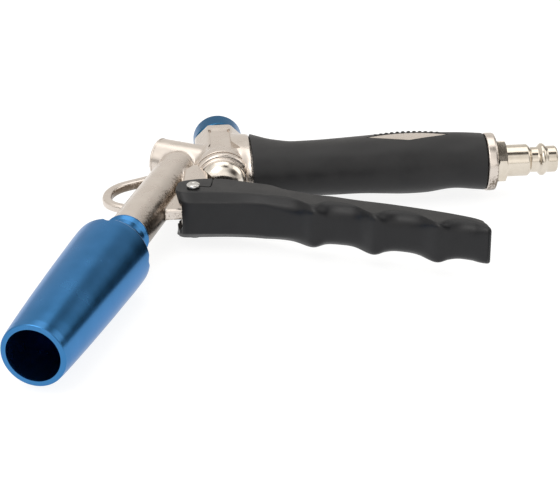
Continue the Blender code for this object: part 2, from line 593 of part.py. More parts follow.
# ------------------------------------------------------------------ nozzle
def build_nozzle(seal_mat):
    profile = SHROUD_OUTER + SHROUD_REAR + SHROUD_BORE
    shroud = turned("nozzle_shroud", profile, MOUTH3, BACK, 40, closed=True, turn=0.0)
    _, u, v = frame_for(BACK)
    for k in range(PORT_COUNT):
        t = 2.0 * math.pi * k / PORT_COUNT
        radial = u * math.cos(t) + v * math.sin(t)
        centre = MOUTH3 + radial * (PORT_PCD_R - 0.6)
        cut(shroud, turned("port", [(63.0, PORT_R), (76.0, PORT_R)], centre, BACK, 20))
        centre = MOUTH3 + radial * (SHROUD_OUTER[-2][1] + 2.4)
        cut(shroud, turned("scallop", [(64.8, 0.6), (71.0, SCALLOP_R)], centre, BACK, 20))
    finish(shroud, material("nozzle_blue", BLUE, 1.0, 0.28))
    jet = [(60.0, 1.1), (60.0, 1.7), (60.5, 2.1), (65.4, 4.0), (65.9, 4.4), (70.8, 4.4), (70.8, 6.2), (72.6, 6.2),
           (72.6, 3.0), (70.0, 2.6), (64.0, 1.1)]
    finish(turned("nozzle_jet", jet, MOUTH3, BACK, 32, closed=True), material("jet_aluminium", (0.75, 0.76, 0.78), 1.0, 0.3))
    torus_part("nozzle_seal", 6.95, 0.45, 83.75, seal_mat, BACK, MOUTH3, 24)


# ------------------------------------------------------------------ closing plug and inlet plug
def build_plugs(seal_mat):
    end = BOSS_LENGTH
    plug = turned("boss_plug", [(end - 6.5, 4.5), (end - 6.1, 4.9), (end - 0.5, 4.9), (end - 0.1, 4.5)], BOSS3, BOSS_DIR, 32)
    cut(plug, turned("socket", [(end - 3.4, 2.3), (end + 2.0, 2.3)], BOSS3, BOSS_DIR, 6))
    finish(plug, material("plug_nickel", NICKEL, 1.0, 0.35))

    d, _, _ = frame_for(X_AXIS)
    hexa = []
    r = PLUG_AF / math.sqrt(3.0)
    for x, k in ((102.9, 0.93), (103.4, 1.0), (106.0, 1.0), (106.5, 0.93)):
        ring = []
        for i in range(6):
            t = math.radians(PLUG_TURN + 60.0 * i)
            ring.append((x, -r * k * math.cos(t), r * k * math.sin(t)))
        hexa.append(ring)
    plug = rings_solid("quick_plug", hexa)
    tail = [(90.0, 5.7), (90.5, 6.2), (103.5, 6.2)]
    add(plug, turned("tail", tail, ORIGIN, X_AXIS, 28))
    nose = [(106.0, 5.5), (106.5, 6.0), (115.0, 6.0), (115.9, 5.2), (116.2, 4.75), (119.0, 4.75), (120.0, 5.95),
            (120.4, 6.1), (120.9, 6.1), (121.3, 5.95), (122.4, 5.0), (125.8, 5.0), (126.2, 4.6)]
    add(plug, turned("nose", nose, ORIGIN, X_AXIS, 32))
    cut(plug, turned("bore", [(80.0, 3.6), (130.0, 3.6)], ORIGIN, X_AXIS, 24))
    finish(plug, material("plug_steel", STEEL, 1.0, 0.22))
    ring_part("plug_seal", 6.5, 8.1, 101.4, 102.6, seal_mat, X_AXIS)


def main():
    seal_mat = material("seal_rubber", SEAL, 0.0, 0.55)
    brass_mat = material("valve_brass", BRASS, 1.0, 0.3)
    steel_mat = material("valve_steel", STEEL, 1.0, 0.25)
    build_body()
    build_sleeve()
    build_lever()
    build_pin()
    build_valve(seal_mat, brass_mat, steel_mat)
    build_nozzle(seal_mat)
    build_plugs(seal_mat)


main()
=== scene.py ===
import math

import bmesh
import bpy
import numpy as np
from mathutils import Matrix, Vector


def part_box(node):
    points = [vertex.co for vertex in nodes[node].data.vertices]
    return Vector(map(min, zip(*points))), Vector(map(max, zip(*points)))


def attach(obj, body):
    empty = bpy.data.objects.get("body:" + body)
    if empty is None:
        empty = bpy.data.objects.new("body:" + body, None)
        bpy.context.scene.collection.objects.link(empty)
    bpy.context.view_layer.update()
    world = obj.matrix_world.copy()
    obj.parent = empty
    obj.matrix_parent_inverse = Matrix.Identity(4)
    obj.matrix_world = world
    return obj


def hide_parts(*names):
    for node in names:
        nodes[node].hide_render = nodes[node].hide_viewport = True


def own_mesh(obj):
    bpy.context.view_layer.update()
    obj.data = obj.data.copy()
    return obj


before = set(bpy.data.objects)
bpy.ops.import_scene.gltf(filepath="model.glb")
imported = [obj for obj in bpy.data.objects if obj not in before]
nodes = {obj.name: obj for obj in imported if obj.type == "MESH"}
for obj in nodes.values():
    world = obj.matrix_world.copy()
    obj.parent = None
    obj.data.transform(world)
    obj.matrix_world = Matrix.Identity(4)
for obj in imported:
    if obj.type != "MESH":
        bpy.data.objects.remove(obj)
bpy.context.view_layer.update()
scene = bpy.context.scene

# ---------------------------------------------------------------- dimensions
# Millimetres in the gun's own axes, as in the CAD: X along the handle, Y along
# the valve, Z out of the plane of symmetry, origin where the two axes cross.
HALF_MM = 500.0  # half the sum of two places in metres, in millimetres
PIN = (-11.2, -31.9)
PIN_AT = [(a + b) * HALF_MM for a, b in zip(*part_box("pivot_pin"))]
MID_Z = sum(corner[2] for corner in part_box("nozzle_shroud")) * HALF_MM
SHIFT = Vector((PIN_AT[0] - PIN[0], PIN_AT[1] - PIN[1], MID_Z))
GAP = 0.3  # clearance round the sleeve, the pin's head and the spring
CLEAR = 14.0  # outside the whole casting, where a tool that cuts to the open air ends

MOUTH = Vector((-62.26, -130.26, 0.0))
NOZZLE_ANGLE = math.radians(18.99)
BACK = Vector((math.sin(NOZZLE_ANGLE), math.cos(NOZZLE_ANGLE), 0.0))
BARREL_R = 7.6
BOSS = Vector((0.0, 3.3, 0.0))
BOSS_ANGLE = math.radians(150.0)
BOSS_DIR = Vector((math.cos(BOSS_ANGLE), math.sin(BOSS_ANGLE), 0.0))
BOSS_LENGTH = 26.6
BOSS_R = 7.75
HOUSING_AF = 9.35  # from the valve axis to the flats above and below
# direction and distance of the eight flats, as shares of the size above
HOUSING_FLATS = [(0, 1.025), (45, 1.055), (90, 1.0), (135, 1.0), (180, 0.985), (225, 1.0), (270, 1.0),
                 (315, 1.055)]
COLLAR_R = 10.8
# handle stations: place along it, half thickness, front edge, back edge
GRIP = [(11.4, 10.9, -11.2, 21.6), (14.4, 10.6, -11.0, 19.0), (18.0, 10.2, -10.9, 16.4),
        (22.0, 9.95, -10.8, 14.4), (26.0, 9.75, -10.7, 13.1), (30.0, 9.8, -10.6, 12.7),
        (37.0, 9.9, -10.6, 12.9), (44.0, 10.05, -10.5, 13.5), (52.0, 10.3, -10.4, 14.2),
        (60.0, 10.6, -10.5, 14.8), (68.0, 10.85, -10.8, 15.0), (76.0, 10.8, -10.6, 14.8),
        (83.0, 10.5, -10.0, 14.2), (90.0, 10.4, -9.9, 13.4), (95.0, 10.35, -10.1, 12.4),
        (98.6, 10.35, -10.3, 11.2)]
SLEEVE_T = 2.6
SLEEVE_LIP = 0.45  # radius of the sleeve's rounded ends
# thumb hollows in the sleeve: centre, spread along and across, depth
HOLLOWS = ((87.0, -4.2, 6.5, 3.6, 0.8), (52.0, -4.5, 9.0, 2.8, 0.3), (30.0, -3.0, 8.0, 4.0, 0.25))
FLANGE_R = 10.86
# the lens-shaped window: centre, half length, reach to the back, and reach to the front
WINDOW = (70.1, 3.5, 15.6, 3.0)
WINDOW_FRONT = 4.75
NUB_COUNT = 12
NUB_PITCH = 2.12
LUG_HALF = 5.75
GUSSET_HALF = 2.05
EAR_HALF = 8.8
# lever stations: back point, chamfer point, front point, half width at side, half width at front
LEVER = [((-17.2, -29.2), (-17.6, -33.6), (-16.6, -36.8), 8.7, 6.8),
         ((-15.2, -25.9), (-15.0, -35.8), (-13.9, -38.9), 8.8, 6.0),
         ((-8.0, -24.4), (-8.0, -36.3), (-8.0, -39.6), 8.8, 5.9),
         ((0.2, -25.2), (0.0, -37.3), (0.0, -40.6), 8.65, 5.85),
         ((8.0, -28.2), (9.0, -39.3), (9.0, -41.9), 8.5, 5.9),
         ((15.7, -31.3), (16.6, -42.2), (18.0, -45.2), 8.4, 6.1),
         ((20.0, -35.0), (23.4, -46.0), (24.9, -48.7), 8.3, 6.3),
         ((25.7, -38.1), (29.0, -49.8), (29.6, -52.2), 8.2, 6.4),
         ((31.3, -40.9), (34.0, -50.3), (35.0, -51.9), 8.1, 6.4),
         ((36.0, -42.4), (39.0, -51.7), (40.0, -53.2), 8.05, 6.4),
         ((41.0, -44.6), (44.0, -53.9), (45.0, -55.4), 7.95, 6.4),
         ((45.6, -46.6), (49.0, -58.3), (49.5, -60.1), 7.9, 6.4),
         ((51.0, -48.6), (53.5, -58.7), (54.0, -60.1), 7.8, 6.4),
         ((55.5, -50.4), (58.0, -59.4), (58.3, -60.7), 7.75, 6.4),
         ((61.5, -53.0), (64.3, -62.4), (64.6, -63.7), 7.65, 6.4),
         ((66.5, -55.3), (69.5, -67.0), (69.8, -68.3), 7.6, 6.4),
         ((71.4, -57.6), (74.0, -67.3), (74.1, -68.5), 7.5, 6.4),
         ((76.5, -60.3), (78.6, -68.1), (78.7, -69.2), 7.45, 6.35),
         ((83.0, -64.2), (84.0, -70.8), (84.0, -71.8), 7.35, 6.3),
         ((86.4, -67.0), (87.2, -71.9), (87.2, -73.0), 6.9, 5.9)]
LEVER_WALL = 2.2
CHANNEL_HALF = 6.1  # half the width inside the lever
RIDGES = (29.6, 49.5, 69.8)  # where the three finger ridges stand highest
PUSHER = (-1.5, 5.0, -24.0)  # the bar that pushes the stem: from, to, top
PLUG_AF = 15.0
PLUG_TURN = 21.0  # how far the plug's hexagon is turned, in degrees

X = Vector((1.0, 0.0, 0.0))
Y = Vector((0.0, 1.0, 0.0))
Z = Vector((0.0, 0.0, 1.0))
O = Vector((0.0, 0.0, 0.0))


def place(p):
    """Gun axes in millimetres to the part frame in metres."""
    return (Vector(p) + SHIFT) * 0.001


# ---------------------------------------------------------------- camera, light, floor
# pitch down, turn and roll in degrees, focal length, and the place in the gun's axes
CAMERA_PITCH, CAMERA_TURN, CAMERA_ROLL, CAMERA_LENS = 26.29, 4.28, 0.77, 102.4
CAMERA_AT = (-19.35, -545.13, 236.1)
FLOOR_HALF = 3.0
FLOOR_GLOW = 0.86
# the soft lights: name, place and size in metres, power in watts
LIGHT_TINT = (1.0, 0.98, 0.95)
LIGHTS = (("soft_top", (0.0, 0.45, 1.4), 1.2, 3.8),
          ("soft_left", (-0.63, -0.75, 1.26), 0.9, 5.5),
          ("soft_right", (1.3, 0.2, 0.8), 1.0, 3.0))
# the room's colour by height, on the camera's side of the table and beyond it
ROOM_NEAR = [(0.0, (0.50, 0.47, 0.43)), (0.12, (1.25, 1.22, 1.18)), (0.35, (1.45, 1.42, 1.38)),
             (0.7, (1.1, 1.08, 1.05)), (0.93, (1.4, 1.38, 1.35))]
ROOM_FAR = [(0.0, (0.82, 0.79, 0.75)), (0.4, (0.88, 0.85, 0.81)), (0.66, (0.72, 0.70, 0.67)),
            (0.86, (1.15, 1.13, 1.10))]
# dark parts of the room, beside the table, behind it, and beside and above the camera: turn and
# height, inner and outer radius in degrees, and the share of the room's light that each one takes
DARK_PARTS = ((60, 2, 4, 38, 0.97), (52, 42, 0, 28, 0.85), (130, 27, 4, 37, 0.97),
              (140, 69, 6, 19, 0.95), (-125, 5, 4, 22, 0.9))
DARK = (0.03, 0.025, 0.02, 1.0)


def build_camera():
    e, turn, roll = math.radians(CAMERA_PITCH), math.radians(CAMERA_TURN), math.radians(CAMERA_ROLL)
    ahead = Vector((math.sin(turn) * math.cos(e), math.cos(turn) * math.cos(e), -math.sin(e)))
    right = Vector((math.cos(turn), -math.sin(turn), 0.0))
    down = ahead.cross(right)
    cam_x = right * math.cos(roll) + down * math.sin(roll)
    cam_down = down * math.cos(roll) - right * math.sin(roll)
    camera = bpy.data.objects.new("camera", bpy.data.cameras.new("camera"))
    camera.data.lens = CAMERA_LENS
    camera.data.sensor_width = 36.0
    camera.data.clip_start = 0.01
    basis = Matrix((cam_x, -cam_down, -ahead)).transposed().to_4x4()
    camera.matrix_world = Matrix.Translation(place(CAMERA_AT)) @ basis
    scene.collection.objects.link(camera)
    scene.camera = camera
    scene.view_settings.view_transform = "Standard"


def build_floor():
    mesh = bpy.data.meshes.new("floor")
    s = FLOOR_HALF
    mesh.from_pydata([(-s, -s, 0), (s, -s, 0), (s, s, 0), (-s, s, 0)], [], [(0, 1, 2, 3)])
    floor = bpy.data.objects.new("floor", mesh)
    scene.collection.objects.link(floor)
    mat, nt, bsdf = new_material("floor_paper", (0.22, 0.22, 0.22), 0.0, 0.9)
    bsdf.inputs["Specular IOR Level"].default_value = 0.1
    bsdf.inputs["Emission Color"].default_value = (1.0, 1.0, 1.0, 1.0)
    bsdf.inputs["Emission Strength"].default_value = FLOOR_GLOW
    mesh.materials.append(mat)


def build_lights():
    for name, loc, size, power in LIGHTS:
        data = bpy.data.lights.new(name, "AREA")
        data.shape = "SQUARE"
        data.size = size
        data.energy = power
        data.color = LIGHT_TINT
        lamp = bpy.data.objects.new(name, data)
        lamp.matrix_world = aim(Vector(loc), Vector((0.0, 0.0, 0.0)))
        scene.collection.objects.link(lamp)


def build_room():
    """A pale room, brighter on the camera's side, with dark parts for the metal to mirror."""
    world = bpy.data.worlds.new("studio")
    scene.world = world
    world.use_nodes = True
    nt = world.node_tree
    back = nt.nodes["Background"]
    back.inputs["Strength"].default_value = 1.0
    around = nt.nodes.new("ShaderNodeTexCoord").outputs["Generated"]
    split = nt.nodes.new("ShaderNodeSeparateXYZ")
    nt.links.new(around, split.inputs[0])
    near = ramp(nt, split.outputs["Z"], ROOM_NEAR)
    far = ramp(nt, split.outputs["Z"], ROOM_FAR)
    shade = blend(nt, map_range(nt, split.outputs["Y"], -0.55, 0.15), near, far)
    for turn, height, inner, outer, share in DARK_PARTS:
        turn, height = math.radians(turn), math.radians(height)
        centre = (math.sin(turn) * math.cos(height), math.cos(turn) * math.cos(height), math.sin(height))
        angle = nt.nodes.new("ShaderNodeMath")
        angle.operation = "ARCCOSINE"
        nt.links.new(dot_product(nt, around, centre), angle.inputs[0])
        mask = map_range(nt, angle.outputs["Value"], math.radians(inner), math.radians(outer), share, 0.0)
        shade = blend(nt, mask, shade, DARK)
    nt.links.new(shade, back.inputs["Color"])


def aim(loc, target):
    d = (target - loc).normalized()
    return Matrix.Translation(loc) @ d.to_track_quat("-Z", "Y").to_matrix().to_4x4()


# ---------------------------------------------------------------- materials
def new_material(name, rgb, metallic, rough):
    mat = bpy.data.materials.new(name)
    mat.use_nodes = True
    nt = mat.node_tree
    bsdf = nt.nodes["Principled BSDF"]
    bsdf.inputs["Base Color"].default_value = (*rgb, 1.0)
    bsdf.inputs["Metallic"].default_value = metallic
    bsdf.inputs["Roughness"].default_value = rough
    return mat, nt, bsdf


def ramp(nt, source, stops):
    node = nt.nodes.new("ShaderNodeValToRGB")
    points = node.color_ramp.elements
    while len(points) < len(stops):
        points.new(0.5)
    for point, (pos, rgb) in zip(points, stops):
        point.position = pos
        point.color = (*rgb, 1.0)
    nt.links.new(source, node.inputs[0])
    return node.outputs["Color"]


def map_range(nt, source, start, end, low=0.0, high=1.0, smooth=True):
    """A number between start and end becomes one between low and high."""
    node = nt.nodes.new("ShaderNodeMapRange")
    node.interpolation_type = "SMOOTHSTEP" if smooth else "LINEAR"
    for name, value in (("From Min", start), ("From Max", end), ("To Min", low), ("To Max", high)):
        node.inputs[name].default_value = value
    nt.links.new(source, node.inputs["Value"])
    return node.outputs["Result"]


def blend(nt, factor, a, b):
    """The colour a where factor is 0 and b where it is 1; b is an output or a fixed colour."""
    node = nt.nodes.new("ShaderNodeMix")
    node.data_type = "RGBA"
    nt.links.new(factor, node.inputs["Factor"])
    nt.links.new(a, node.inputs["A"])
    if isinstance(b, tuple):
        node.inputs["B"].default_value = b
    else:
        nt.links.new(b, node.inputs["B"])
    return node.outputs["Result"]


def dot_product(nt, source, direction):
    node = nt.nodes.new("ShaderNodeVectorMath")
    node.operation = "DOT_PRODUCT"
    node.inputs[1].default_value = direction
    nt.links.new(source, node.inputs[0])
    return node.outputs["Value"]


def noise_node(nt, scale, detail=3.0, rough=0.55, stretch=None, turn=0.0):
    coord = nt.nodes.new("ShaderNodeTexCoord")
    vector = coord.outputs["Object"]
    if stretch:
        mapping = nt.nodes.new("ShaderNodeMapping")
        mapping.vector_type = "TEXTURE"
        mapping.inputs["Rotation"].default_value = (0.0, 0.0, turn)
        mapping.inputs["Scale"].default_value = stretch
        nt.links.new(vector, mapping.inputs["Vector"])
        vector = mapping.outputs["Vector"]
    node = nt.nodes.new("ShaderNodeTexNoise")
    node.inputs["Scale"].default_value = scale
    node.inputs["Detail"].default_value = detail
    node.inputs["Roughness"].default_value = rough
    nt.links.new(vector, node.inputs["Vector"])
    return node.outputs["Fac"]


def add_bump(nt, bsdf, height, distance):
    """Stack a bump under whatever already feeds the shader's normal."""
    bump = nt.nodes.new("ShaderNodeBump")
    bump.inputs["Strength"].default_value = 1.0
    bump.inputs["Distance"].default_value = distance
    nt.links.new(height, bump.inputs["Height"])
    if bsdf.inputs["Normal"].is_linked:
        nt.links.new(bsdf.inputs["Normal"].links[0].from_socket, bump.inputs["Normal"])
    nt.links.new(bump.outputs["Normal"], bsdf.inputs["Normal"])


def vary(nt, bsdf, fac, low, high, rough_low, rough_high, span=(0.35, 0.65)):
    """Colour and roughness both follow one pattern."""
    nt.links.new(ramp(nt, fac, [(span[0], low), (span[1], high)]), bsdf.inputs["Base Color"])
    nt.links.new(map_range(nt, fac, *span, rough_low, rough_high, smooth=False), bsdf.inputs["Roughness"])


def cast_nickel():
    mat, nt, bsdf = new_material("cast_nickel_plate", (0.66, 0.60, 0.54), 1.0, 0.3)
    vary(nt, bsdf, noise_node(nt, 140.0, 3.0), (0.65, 0.585, 0.53), (0.69, 0.63, 0.575), 0.24, 0.33)
    # painted shade: the plating is painted a speckled dark brown where the casting turns down and away,
    # standing in for the shade and dark reflections on those sides
    total = dot_product(nt, nt.nodes.new("ShaderNodeTexCoord").outputs["Normal"], (0.85, -0.22, -0.48))
    for pattern, weight in ((noise_node(nt, 1300.0, 4.0, 0.7), 2.0), (noise_node(nt, 110.0, 3.0), 1.2)):
        more = nt.nodes.new("ShaderNodeMath")
        more.operation = "MULTIPLY_ADD"
        more.inputs[1].default_value = weight
        nt.links.new(pattern, more.inputs[0])
        nt.links.new(total, more.inputs[2])
        total = more.outputs["Value"]
    # painted shade: how strongly the dark brown covers each point, from the facing and the noise above
    painted_shade_mask = map_range(nt, total, 1.78, 2.3, 0.0, 0.85)
    plate = bsdf.inputs["Base Color"].links[0].from_socket
    # the dark brown of the painted shade, blended over the plate colour
    nt.links.new(blend(nt, painted_shade_mask, plate, (0.12, 0.09, 0.06, 1.0)), bsdf.inputs["Base Color"])
    add_bump(nt, bsdf, noise_node(nt, 2600.0, 3.0, 0.65), 0.000009)
    add_bump(nt, bsdf, noise_node(nt, 420.0, 2.0, 0.5), 0.00001)
    return mat


def tool_rings(nt, axis_turn):
    """Noise drawn out square to the turning axis, which is Y turned by axis_turn."""
    return noise_node(nt, 900.0, 2.0, 0.6, (60.0, 1.0, 60.0), axis_turn)


def turned_metal(name, low, high, rough, axis_turn):
    """Plated or bare turned metal with faint tool rings round its axis."""
    mat, nt, bsdf = new_material(name, high, 1.0, rough)
    vary(nt, bsdf, noise_node(nt, 180.0, 3.0), low, high, rough * 0.8, rough * 1.25)
    add_bump(nt, bsdf, tool_rings(nt, axis_turn), 0.00001)
    return mat


def anodised(name, axis_turn, low, high, coat):
    """Turned aluminium under a coloured oxide layer."""
    mat, nt, bsdf = new_material(name, high, 1.0, 0.24)
    vary(nt, bsdf, noise_node(nt, 90.0, 4.0), low, high, 0.22, 0.28)
    bsdf.inputs["Specular Tint"].default_value = (0.6, 0.7, 0.85, 1.0)
    bsdf.inputs["Coat Weight"].default_value = coat
    bsdf.inputs["Coat Roughness"].default_value = 0.15
    add_bump(nt, bsdf, tool_rings(nt, axis_turn), 0.000006)
    return mat


def grip_rubber():
    mat, nt, bsdf = new_material("grip_rubber_soft", (0.014, 0.014, 0.015), 0.0, 0.62)
    vary(nt, bsdf, noise_node(nt, 70.0, 5.0, 0.6), (0.006, 0.006, 0.007), (0.016, 0.016, 0.017), 0.42, 0.62)
    bsdf.inputs["Specular IOR Level"].default_value = 0.35
    bsdf.inputs["Sheen Weight"].default_value = 0.05
    bsdf.inputs["Sheen Roughness"].default_value = 0.5
    add_bump(nt, bsdf, noise_node(nt, 5200.0, 2.0, 0.6), 0.000012)
    add_bump(nt, bsdf, noise_node(nt, 130.0, 2.0, 0.5), 0.00012)
    return mat


def lever_plastic():
    mat, nt, bsdf = new_material("lever_moulded_plastic", (0.022, 0.022, 0.023), 0.0, 0.45)
    bsdf.inputs["Specular IOR Level"].default_value = 0.36
    vary(nt, bsdf, noise_node(nt, 150.0, 4.0, 0.6), (0.0035, 0.0038, 0.0052), (0.006, 0.0064, 0.008), 0.33,
         0.43)
    add_bump(nt, bsdf, noise_node(nt, 3800.0, 3.0, 0.7), 0.000016)
    return mat


def seal_rubber():
    mat, nt, bsdf = new_material("seal_rubber_matt", (0.012, 0.012, 0.012), 0.0, 0.5)
    vary(nt, bsdf, noise_node(nt, 900.0, 3.0), (0.010, 0.010, 0.010), (0.018, 0.018, 0.018), 0.42, 0.58)
    add_bump(nt, bsdf, noise_node(nt, 6000.0, 2.0), 0.000005)
    return mat


# ---------------------------------------------------------------- mesh helpers
def mesh_object(name, verts, faces):
    """Points in gun millimetres become an object in the part frame."""
    mesh = bpy.data.meshes.new(name)
    mesh.from_pydata([place(v) for v in verts], [], faces)
    obj = bpy.data.objects.new(name, mesh)
    scene.collection.objects.link(obj)
    bm = bmesh.new()
    bm.from_mesh(mesh)
    bmesh.ops.remove_doubles(bm, verts=bm.verts, dist=1e-7)
    bmesh.ops.recalc_face_normals(bm, faces=bm.faces)
    bm.to_mesh(mesh)
    bm.free()
    return obj


def skin(name, rings, closed=False):
    """A mesh through rings of equal count, capped at both ends or closed on itself."""
    count = len(rings[0])
    verts = [p for ring in rings for p in ring]
    faces = []
    for i in range(len(rings) if closed else len(rings) - 1):
        a = i * count
        b = ((i + 1) % len(rings)) * count
        faces += [(a + k, a + (k + 1) % count, b + (k + 1) % count, b + k) for k in range(count)]
    if not closed:
        faces.append(tuple(range(count)))
        faces.append(tuple(reversed(range(len(verts) - count, len(verts)))))
    return mesh_object(name, verts, faces)


def fillet(points, radius, steps=3, closed=True):
    """Round every corner of a polygon with a short curve of at most 0.45 of each side."""
    out = []
    n = len(points)
    for i, p in enumerate(points):
        if not closed and i in (0, n - 1):
            out.append(p)
            continue
        r = radius[i] if isinstance(radius, (list, tuple)) else radius
        p, a, b = Vector(p), Vector(points[i - 1]), Vector(points[(i + 1) % n])
        da, db = a - p, b - p
        a = p + da * min(0.45, r / max(da.length, 1e-9))
        b = p + db * min(0.45, r / max(db.length, 1e-9))
        for k in range(steps + 1):
            t = k / steps
            out.append(a * (1 - t) ** 2 + p * (2 * t * (1 - t)) + b * t * t)
    return out


def turned(name, profile, origin, axis, segs=96, closed=False, radius=0.0, steps=3):
    """Solid of revolution with softened profile corners."""
    if radius:
        profile = fillet([(s, r, 0.0) for s, r in profile], radius, steps, closed)
    d = Vector(axis).normalized()
    u = d.cross(Z if abs(d.z) < 0.9 else X).normalized()
    v = d.cross(u)
    rings = []
    for row in profile:
        rings.append([Vector(origin) + d * row[0] + (u * math.cos(t) + v * math.sin(t)) * row[1]
                      for t in (2.0 * math.pi * k / segs for k in range(segs))])
    return skin(name, rings, closed)


def prism(name, outline, z0, z1, radius=0.0):
    if radius:
        outline = [(p[0], p[1]) for p in fillet([(x, y, 0.0) for x, y in outline], radius, 4)]
    return skin(name, [[(x, y, z) for x, y in outline] for z in (z0, z1)])


def outwards(side, near):
    """From near to well clear of the casting, on one side of the plane of symmetry."""
    return (near, CLEAR) if side > 0.0 else (-CLEAR, -near)


def apply(obj):
    """Turn what the modifiers make of the mesh into the mesh itself."""
    graph = bpy.context.evaluated_depsgraph_get()
    result = bpy.data.meshes.new_from_object(obj.evaluated_get(graph))
    obj.modifiers.clear()
    old = obj.data
    obj.data = result
    bpy.data.meshes.remove(old)
    result.name = obj.name
    return obj


def combine(target, tool, operation):
    """Boolean with the manifold solver, or the exact one where that fails."""
    before = len(target.data.polygons)
    for solver in ("MANIFOLD", "EXACT"):
        mod = target.modifiers.new("cut", "BOOLEAN")
        mod.operation = operation
        mod.solver = solver
        mod.object = tool
        graph = bpy.context.evaluated_depsgraph_get()
        result = bpy.data.meshes.new_from_object(target.evaluated_get(graph))
        target.modifiers.clear()
        if len(result.polygons) > 0 and len(result.polygons) != before:
            break
    old = target.data
    target.data = result
    bpy.data.meshes.remove(old)
    bpy.data.objects.remove(tool, do_unlink=True)
    return target


def add(target, *tools):
    for tool in tools:
        combine(target, tool, "UNION")
    return target


def cut(target, *tools):
    for tool in tools:
        combine(target, tool, "DIFFERENCE")
    return target


def remesh(obj, size_mm):
    mod = obj.modifiers.new("remesh", "REMESH")
    mod.mode = "VOXEL"
    mod.voxel_size = size_mm * 0.001
    return apply(obj)


def relax(obj, rounds, amount):
    """Even out a dense mesh; amount(points in gun mm) gives each vertex its share of the move."""
    mesh = obj.data
    co = np.zeros(len(mesh.vertices) * 3)
    mesh.vertices.foreach_get("co", co)
    co = co.reshape(-1, 3)
    edges = np.zeros(len(mesh.edges) * 2, int)
    mesh.edges.foreach_get("vertices", edges)
    edges = edges.reshape(-1, 2)
    count = np.bincount(edges.ravel(), minlength=len(co)).clip(1)[:, None]
    w = np.asarray(amount(co * 1000.0 - np.array(SHIFT)), float)[:, None]
    for _ in range(rounds):
        total = np.zeros_like(co)
        for k in range(3):
            total[:, k] = (np.bincount(edges[:, 0], co[edges[:, 1], k], len(co))
                           + np.bincount(edges[:, 1], co[edges[:, 0], k], len(co)))
        co += (total / count - co) * 0.5 * w
    mesh.vertices.foreach_set("co", co.ravel())
    mesh.update()
    return obj


def dress(obj, mat, body, slot, *replaced, angle=32.0, weighted=True):
    """Smooth shading with real edges kept, a material, a place under its body, and the replaced parts
    hidden.
    """
    bm = bmesh.new()
    bm.from_mesh(obj.data)
    limit = math.radians(angle)
    for face in bm.faces:
        face.smooth = True
    for edge in bm.edges:
        edge.smooth = len(edge.link_faces) != 2 or edge.calc_face_angle(0.0) <= limit
    bm.to_mesh(obj.data)
    bm.free()
    obj.data.materials.clear()
    obj.data.materials.append(mat)
    if weighted:
        mod = obj.modifiers.new("normals", "WEIGHTED_NORMAL")
        mod.keep_sharp = True
        mod.weight = 80
        apply(obj)
    obj.data.name = obj.name
    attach(obj, body)
    if replaced:
        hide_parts(*replaced)
    return obj


def smooth_rows(rows, per):
    """Catmull-Rom through rows of numbers, per steps for each span."""
    a = np.array(rows, float)
    out = []
    for i in range(len(a) - 1):
        p0, p1, p2, p3 = a[max(i - 1, 0)], a[i], a[i + 1], a[min(i + 2, len(a) - 1)]
        for k in range(per):
            t = k / per
            out.append(0.5 * (2 * p1 + (p2 - p0) * t + (2 * p0 - 5 * p1 + 4 * p2 - p3) * t * t
                              + (3 * p1 - p0 - 3 * p2 + p3) * t ** 3))
    out.append(a[-1])
    return out


def grip_ring(x, half, front, back, off, count=72):
    """Cross-section of the handle at x, off millimetres inside its surface."""
    yc, b, a = (front + back) * 0.5, (back - front) * 0.5 - off, half - off
    ring = []
    for k in range(count):
        c, s = math.cos(2.0 * math.pi * k / count), math.sin(2.0 * math.pi * k / count)
        ring.append((x, yc + b * math.copysign(abs(c) ** 0.9, c), a * math.copysign(abs(s) ** 0.9, s)))
    return ring


GRIP_FINE = smooth_rows(GRIP, 5)


def grip_at(x):
    """Half thickness, front edge and back edge of the handle at x."""
    xs = [row[0] for row in GRIP_FINE]
    return [float(np.interp(x, xs, [row[j] for row in GRIP_FINE])) for j in range(1, 4)]


def window_outline(shrink, steps=24):
    """The window's lens shape, smaller by shrink all round."""
    cx, cy, hx, hy = WINDOW
    hx, hy, hf = hx - shrink * 2.0, hy - shrink, WINDOW_FRONT - shrink
    low = [(-hx + 2 * hx * k / steps) for k in range(steps)]
    return ([(cx + x, cy - hf * (1 - abs(x / hx) ** 1.2)) for x in low]
            + [(cx - x, cy + hy * (1 - (x / hx) ** 2)) for x in low])


def octagon_ring(y, apothem, radius, share, count=96):
    """Cross-section of the valve housing: an octagon where share is 0, a circle where it is 1."""
    ring = []
    for k in range(count):
        t = 2.0 * math.pi * k / count
        octo = min(apothem * d / math.cos(t - math.radians(a)) for a, d in HOUSING_FLATS
                   if math.cos(t - math.radians(a)) > 0.3)
        r = octo * (1.0 - share) + radius * share
        ring.append((r * math.cos(t), y, r * math.sin(t)))
    return ring


def arc(cx, cy, r, start, sweep, count):
    return [(cx + r * math.cos(math.radians(start + sweep * k / (count - 1))),
             cy + r * math.sin(math.radians(start + sweep * k / (count - 1)))) for k in range(count)]


